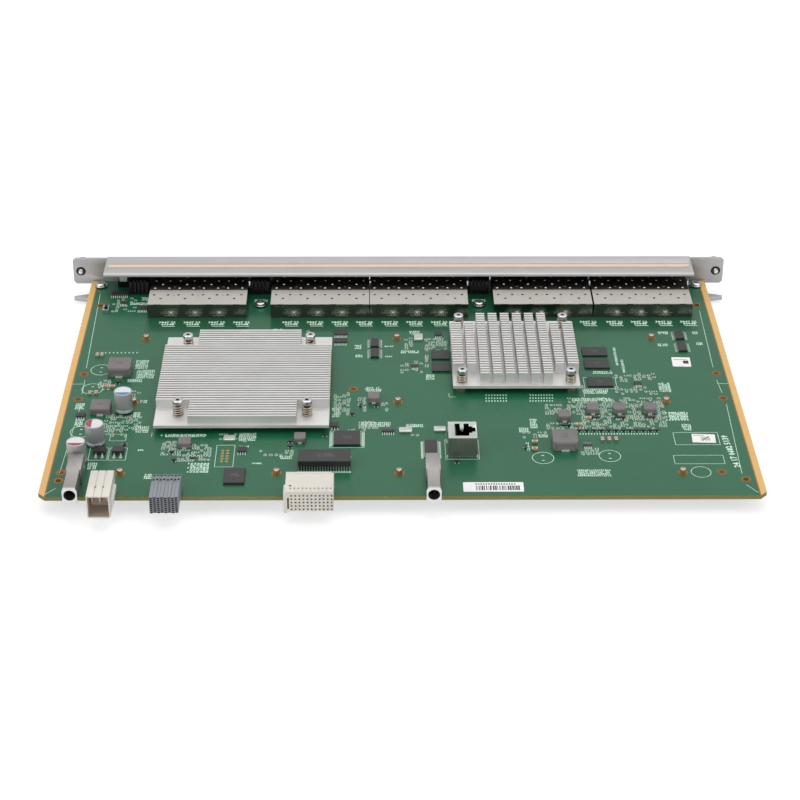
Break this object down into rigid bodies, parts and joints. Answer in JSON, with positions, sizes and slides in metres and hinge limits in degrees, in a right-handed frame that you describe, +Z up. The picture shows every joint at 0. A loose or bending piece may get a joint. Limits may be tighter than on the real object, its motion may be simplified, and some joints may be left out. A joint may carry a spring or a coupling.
{
  "type": "switch line card",
  "caption": "Network switch line card: circuit board with ganged pluggable module cages behind a flanged front panel, finned heat sinks, rear connectors, ejector levers and captive screws.",
  "frame": {"origin": "centre of the bounding box's base, on the plane under the posts and the panel bracket", "axes": "+X along the front panel to the right as seen from the rear connectors, +Y from the rear connectors to the front panel, +Z up out of the component side"},
  "size_m": [0.3886, 0.263, 0.0253],
  "materials": {
    "board_green": "satin solder mask",
    "panel_steel": "plated sheet",
    "cage_metal": "thin plated sheet",
    "fastener_steel": "plated",
    "spring_steel": "wire",
    "sink_aluminium": "extruded and milled",
    "post_brass": "tin plated brass",
    "guide_zinc": "die cast, plated",
    "gasket_cloth": "conductive cloth on foam",
    "white_moulding": "moulded",
    "grey_moulding": "moulded",
    "black_moulding": "moulded",
    "chip_black": "moulded package",
    "pad_grey": "soft pad",
    "blade_copper": "plated copper alloy",
    "clear_lens": "moulded clear",
    "jack_plate": "tin plated sheet",
    "can_sleeve": "drawn can",
    "coil_grey": "pressed iron powder",
    "crystal_can": "drawn can",
    "ceramic_tan": "sintered ceramic"
  },
  "bodies": {
    "card": {"board": "board_green", "posts": "post_brass", "front_panel": "panel_steel", "emi_gasket": "gasket_cloth", "panel_bracket": "panel_steel", "ejector_pivots": "fastener_steel", "board_screws": "fastener_steel", "sfp_lids": "cage_metal", "sfp_dividers": "cage_metal", "sfp_host_connectors": "black_moulding", "led_blocks": "black_moulding", "indicator_lenses": "clear_lens", "status_led_holder": "black_moulding", "status_light_guide": "clear_lens", "heatsink_large": "sink_aluminium", "heatsink_small": "sink_aluminium", "heatsink_screws": "fastener_steel", "heatsink_spacers": "post_brass", "heatsink_springs": "spring_steel", "switch_chips": "chip_black", "thermal_pads": "pad_grey", "power_connector": "white_moulding", "power_blades": "blade_copper", "signal_connector": "grey_moulding", "backplane_connector": "white_moulding", "guide_socket_left": "guide_zinc", "guide_socket_right": "guide_zinc", "jack_shield": "jack_plate", "jack_insert": "black_moulding", "electrolytic_capacitors": "can_sleeve", "power_inductors": "coil_grey", "small_inductors": "coil_grey", "memory_chips": "chip_black", "magnetics_module": "chip_black", "controller_chips": "chip_black", "small_chips": "chip_black", "power_transistors": "chip_black", "metal_cans": "crystal_can", "chip_capacitors": "ceramic_tan", "reset_switch_body": "black_moulding", "screw_spring_left": "spring_steel", "screw_spring_right": "spring_steel", "sfp_cage_1": "cage_metal", "sfp_cage_2": "cage_metal", "sfp_cage_3": "cage_metal", "sfp_cage_4": "cage_metal", "sfp_cage_5": "cage_metal"},
    "ejector_left": {"ejector_left": "panel_steel"},
    "ejector_right": {"ejector_right": "panel_steel"},
    "clip_left": {"screw_clip_left": "spring_steel"},
    "screw_left": {"captive_screw_left": "fastener_steel"},
    "clip_right": {"screw_clip_right": "spring_steel"},
    "screw_right": {"captive_screw_right": "fastener_steel"},
    "reset_button": {"reset_button": "white_moulding"}
  },
  "joints": [
    {"name": "ejector_left_hinge", "type": "hinge", "parent": "card", "child": "ejector_left", "pos_m": [-0.1772, 0.1133, 0.0028], "axis": [0, 0, 1], "range_deg": [0, 50]},
    {"name": "ejector_right_hinge", "type": "hinge", "parent": "card", "child": "ejector_right", "pos_m": [0.1772, 0.1133, 0.0028], "axis": [0, 0, -1], "range_deg": [0, 50]},
    {"name": "screw_left_push", "type": "slide", "parent": "card", "child": "clip_left", "axis": [0, -1, 0], "range_m": [0, 0.0024], "stiffness_N_per_m": 900, "springref_m": -0.001, "deforming": ["screw_spring_left"]},
    {"name": "screw_left_turn", "type": "hinge", "parent": "clip_left", "child": "screw_left", "pos_m": [-0.1898, 0.1229, 0.0163], "axis": [0, 1, 0], "continuous": true},
    {"name": "screw_right_push", "type": "slide", "parent": "card", "child": "clip_right", "axis": [0, -1, 0], "range_m": [0, 0.0024], "stiffness_N_per_m": 900, "springref_m": -0.001, "deforming": ["screw_spring_right"]},
    {"name": "screw_right_turn", "type": "hinge", "parent": "clip_right", "child": "screw_right", "pos_m": [0.1898, 0.1229, 0.0163], "axis": [0, 1, 0], "continuous": true},
    {"name": "reset_press", "type": "slide", "parent": "card", "child": "reset_button", "axis": [0, 0, -1], "range_m": [0, 0.0003], "stiffness_N_per_m": 3000}
  ]
}
